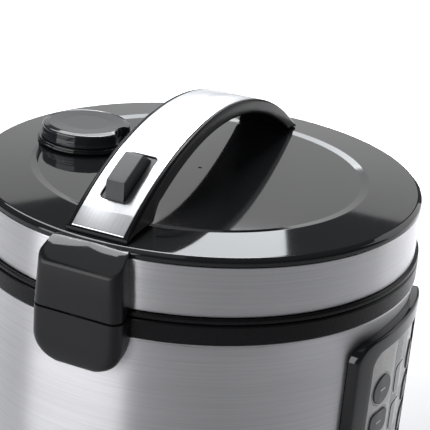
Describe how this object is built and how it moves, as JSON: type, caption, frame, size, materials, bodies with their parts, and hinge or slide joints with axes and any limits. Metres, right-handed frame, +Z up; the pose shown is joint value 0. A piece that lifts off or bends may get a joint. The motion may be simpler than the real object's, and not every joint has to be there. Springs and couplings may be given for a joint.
{
  "type": "rice cooker",
  "caption": "Round rice cooker with a latched, hinged lid, bridge handle with release button, steam vent cap, curved control panel, inner pot, heating plate and rear power inlet.",
  "frame": {"origin": "on the body's axis at the underside of the feet, the middle of the bounding box's base", "axes": "+Z up; -Y toward the control panel; -X toward the lid latch and release button; +X toward the lid hinge; +Y toward the steam vent and power inlet"},
  "size_m": [0.2772, 0.262, 0.2555],
  "materials": {
    "brushed_steel": "fine brushing round the body and along the handle",
    "gloss_black": "polished black plastic",
    "satin_black": "satin black plastic",
    "button_grey": "matt dark grey plastic",
    "face_cream": "pale silver-cream printed face",
    "face_grey": "mid-grey printed face",
    "key_grey": "satin grey keys",
    "display_dark": "dark display windows",
    "aluminium": "bare pressed aluminium",
    "pot_coating": "dark non-stick coating on aluminium",
    "plain_steel": "plain bright steel of pins, screws, springs and hook",
    "foot_rubber": "black rubber feet",
    "gasket_silicone": "pale grey silicone",
    "board_green": "green circuit board",
    "brass": "inlet contact pins"
  },
  "bodies": {
    "body": {"base_tray": "satin_black", "foot_1": "foot_rubber", "foot_2": "foot_rubber", "foot_3": "foot_rubber", "foot_4": "foot_rubber", "outer_shell": "brushed_steel", "body_collar": "satin_black", "latch_keeper": "plain_steel", "inner_liner": "aluminium", "heating_plate": "aluminium", "sensor_bracket": "plain_steel", "sensor_spring": "plain_steel", "inner_pot": "pot_coating", "latch_housing_lower": "satin_black", "hinge_housing_lower": "satin_black", "hinge_pin": "plain_steel", "panel_bezel": "gloss_black", "panel_face_left": "face_cream", "panel_face_right": "face_cream", "panel_centre": "face_grey", "display_window_1": "display_dark", "display_window_2": "display_dark", "display_window_3": "display_dark", "control_board": "board_green", "inlet_pin_1": "brass", "inlet_pin_2": "brass", "inlet_pin_3": "brass", "power_inlet": "satin_black"},
    "lid": {"lid_chassis": "satin_black", "lid_band": "brushed_steel", "lid_top": "gloss_black", "inner_lid_plate": "aluminium", "lid_gasket": "gasket_silicone", "steam_duct": "satin_black", "vent_seat": "gloss_black", "handle_frame": "satin_black", "handle_inlay": "brushed_steel", "handle_screw_1": "plain_steel", "handle_screw_2": "plain_steel", "handle_screw_3": "plain_steel", "handle_screw_4": "plain_steel", "latch_pin": "plain_steel", "latch_spring": "plain_steel", "latch_housing_upper": "satin_black", "hinge_housing_upper": "satin_black"},
    "steam_cap": {"steam_cap": "gloss_black"},
    "release_button": {"release_button": "button_grey"},
    "latch_hook": {"latch_hook": "plain_steel"},
    "pot_sensor": {"pot_sensor": "aluminium"},
    "key_left_1": {"key_left_1": "key_grey"},
    "key_left_2": {"key_left_2": "key_grey"},
    "key_left_3": {"key_left_3": "key_grey"},
    "key_right_1": {"key_right_1": "key_grey"},
    "key_right_2": {"key_right_2": "key_grey"},
    "key_right_3": {"key_right_3": "key_grey"}
  },
  "joints": [
    {"name": "lid_open", "type": "hinge", "parent": "body", "child": "lid", "pos_m": [0.134, 0, 0.181], "axis": [0, 1, 0], "range_deg": [0, 95]},
    {"name": "button_press", "type": "slide", "parent": "lid", "child": "release_button", "axis": [0, 0, -1], "range_m": [0, 0.004], "stiffness_N_per_m": 600, "springref_m": -0.002},
    {"name": "latch_turn", "type": "hinge", "parent": "lid", "child": "latch_hook", "pos_m": [-0.131, 0, 0.199], "axis": [0, 1, 0], "range_deg": [0, 7], "deforming": ["latch_spring"]},
    {"name": "steam_cap_lift", "type": "slide", "parent": "lid", "child": "steam_cap", "axis": [0, 0, 1], "range_m": [0, 0.06]},
    {"name": "sensor_press", "type": "slide", "parent": "body", "child": "pot_sensor", "axis": [0, 0, -1], "range_m": [0, 0.0025], "stiffness_N_per_m": 800, "springref_m": -0.003, "deforming": ["sensor_spring"]},
    {"name": "key_left_1_press", "type": "slide", "parent": "body", "child": "key_left_1", "axis": [0, 1, 0], "range_m": [0, 0.0008], "stiffness_N_per_m": 900, "springref_m": -0.0006},
    {"name": "key_left_2_press", "type": "slide", "parent": "body", "child": "key_left_2", "axis": [0, 1, 0], "range_m": [0, 0.0008], "stiffness_N_per_m": 900, "springref_m": -0.0006},
    {"name": "key_left_3_press", "type": "slide", "parent": "body", "child": "key_left_3", "axis": [0, 1, 0], "range_m": [0, 0.0008], "stiffness_N_per_m": 900, "springref_m": -0.0006},
    {"name": "key_right_1_press", "type": "slide", "parent": "body", "child": "key_right_1", "axis": [0, 1, 0], "range_m": [0, 0.0008], "stiffness_N_per_m": 900, "springref_m": -0.0006},
    {"name": "key_right_2_press", "type": "slide", "parent": "body", "child": "key_right_2", "axis": [0, 1, 0], "range_m": [0, 0.0008], "stiffness_N_per_m": 900, "springref_m": -0.0006},
    {"name": "key_right_3_press", "type": "slide", "parent": "body", "child": "key_right_3", "axis": [0, 1, 0], "range_m": [0, 0.0008], "stiffness_N_per_m": 900, "springref_m": -0.0006}
  ],
  "couplings": [
    {"joint": "latch_turn", "follows": "button_press", "rad_per_m": 26}
  ]
}
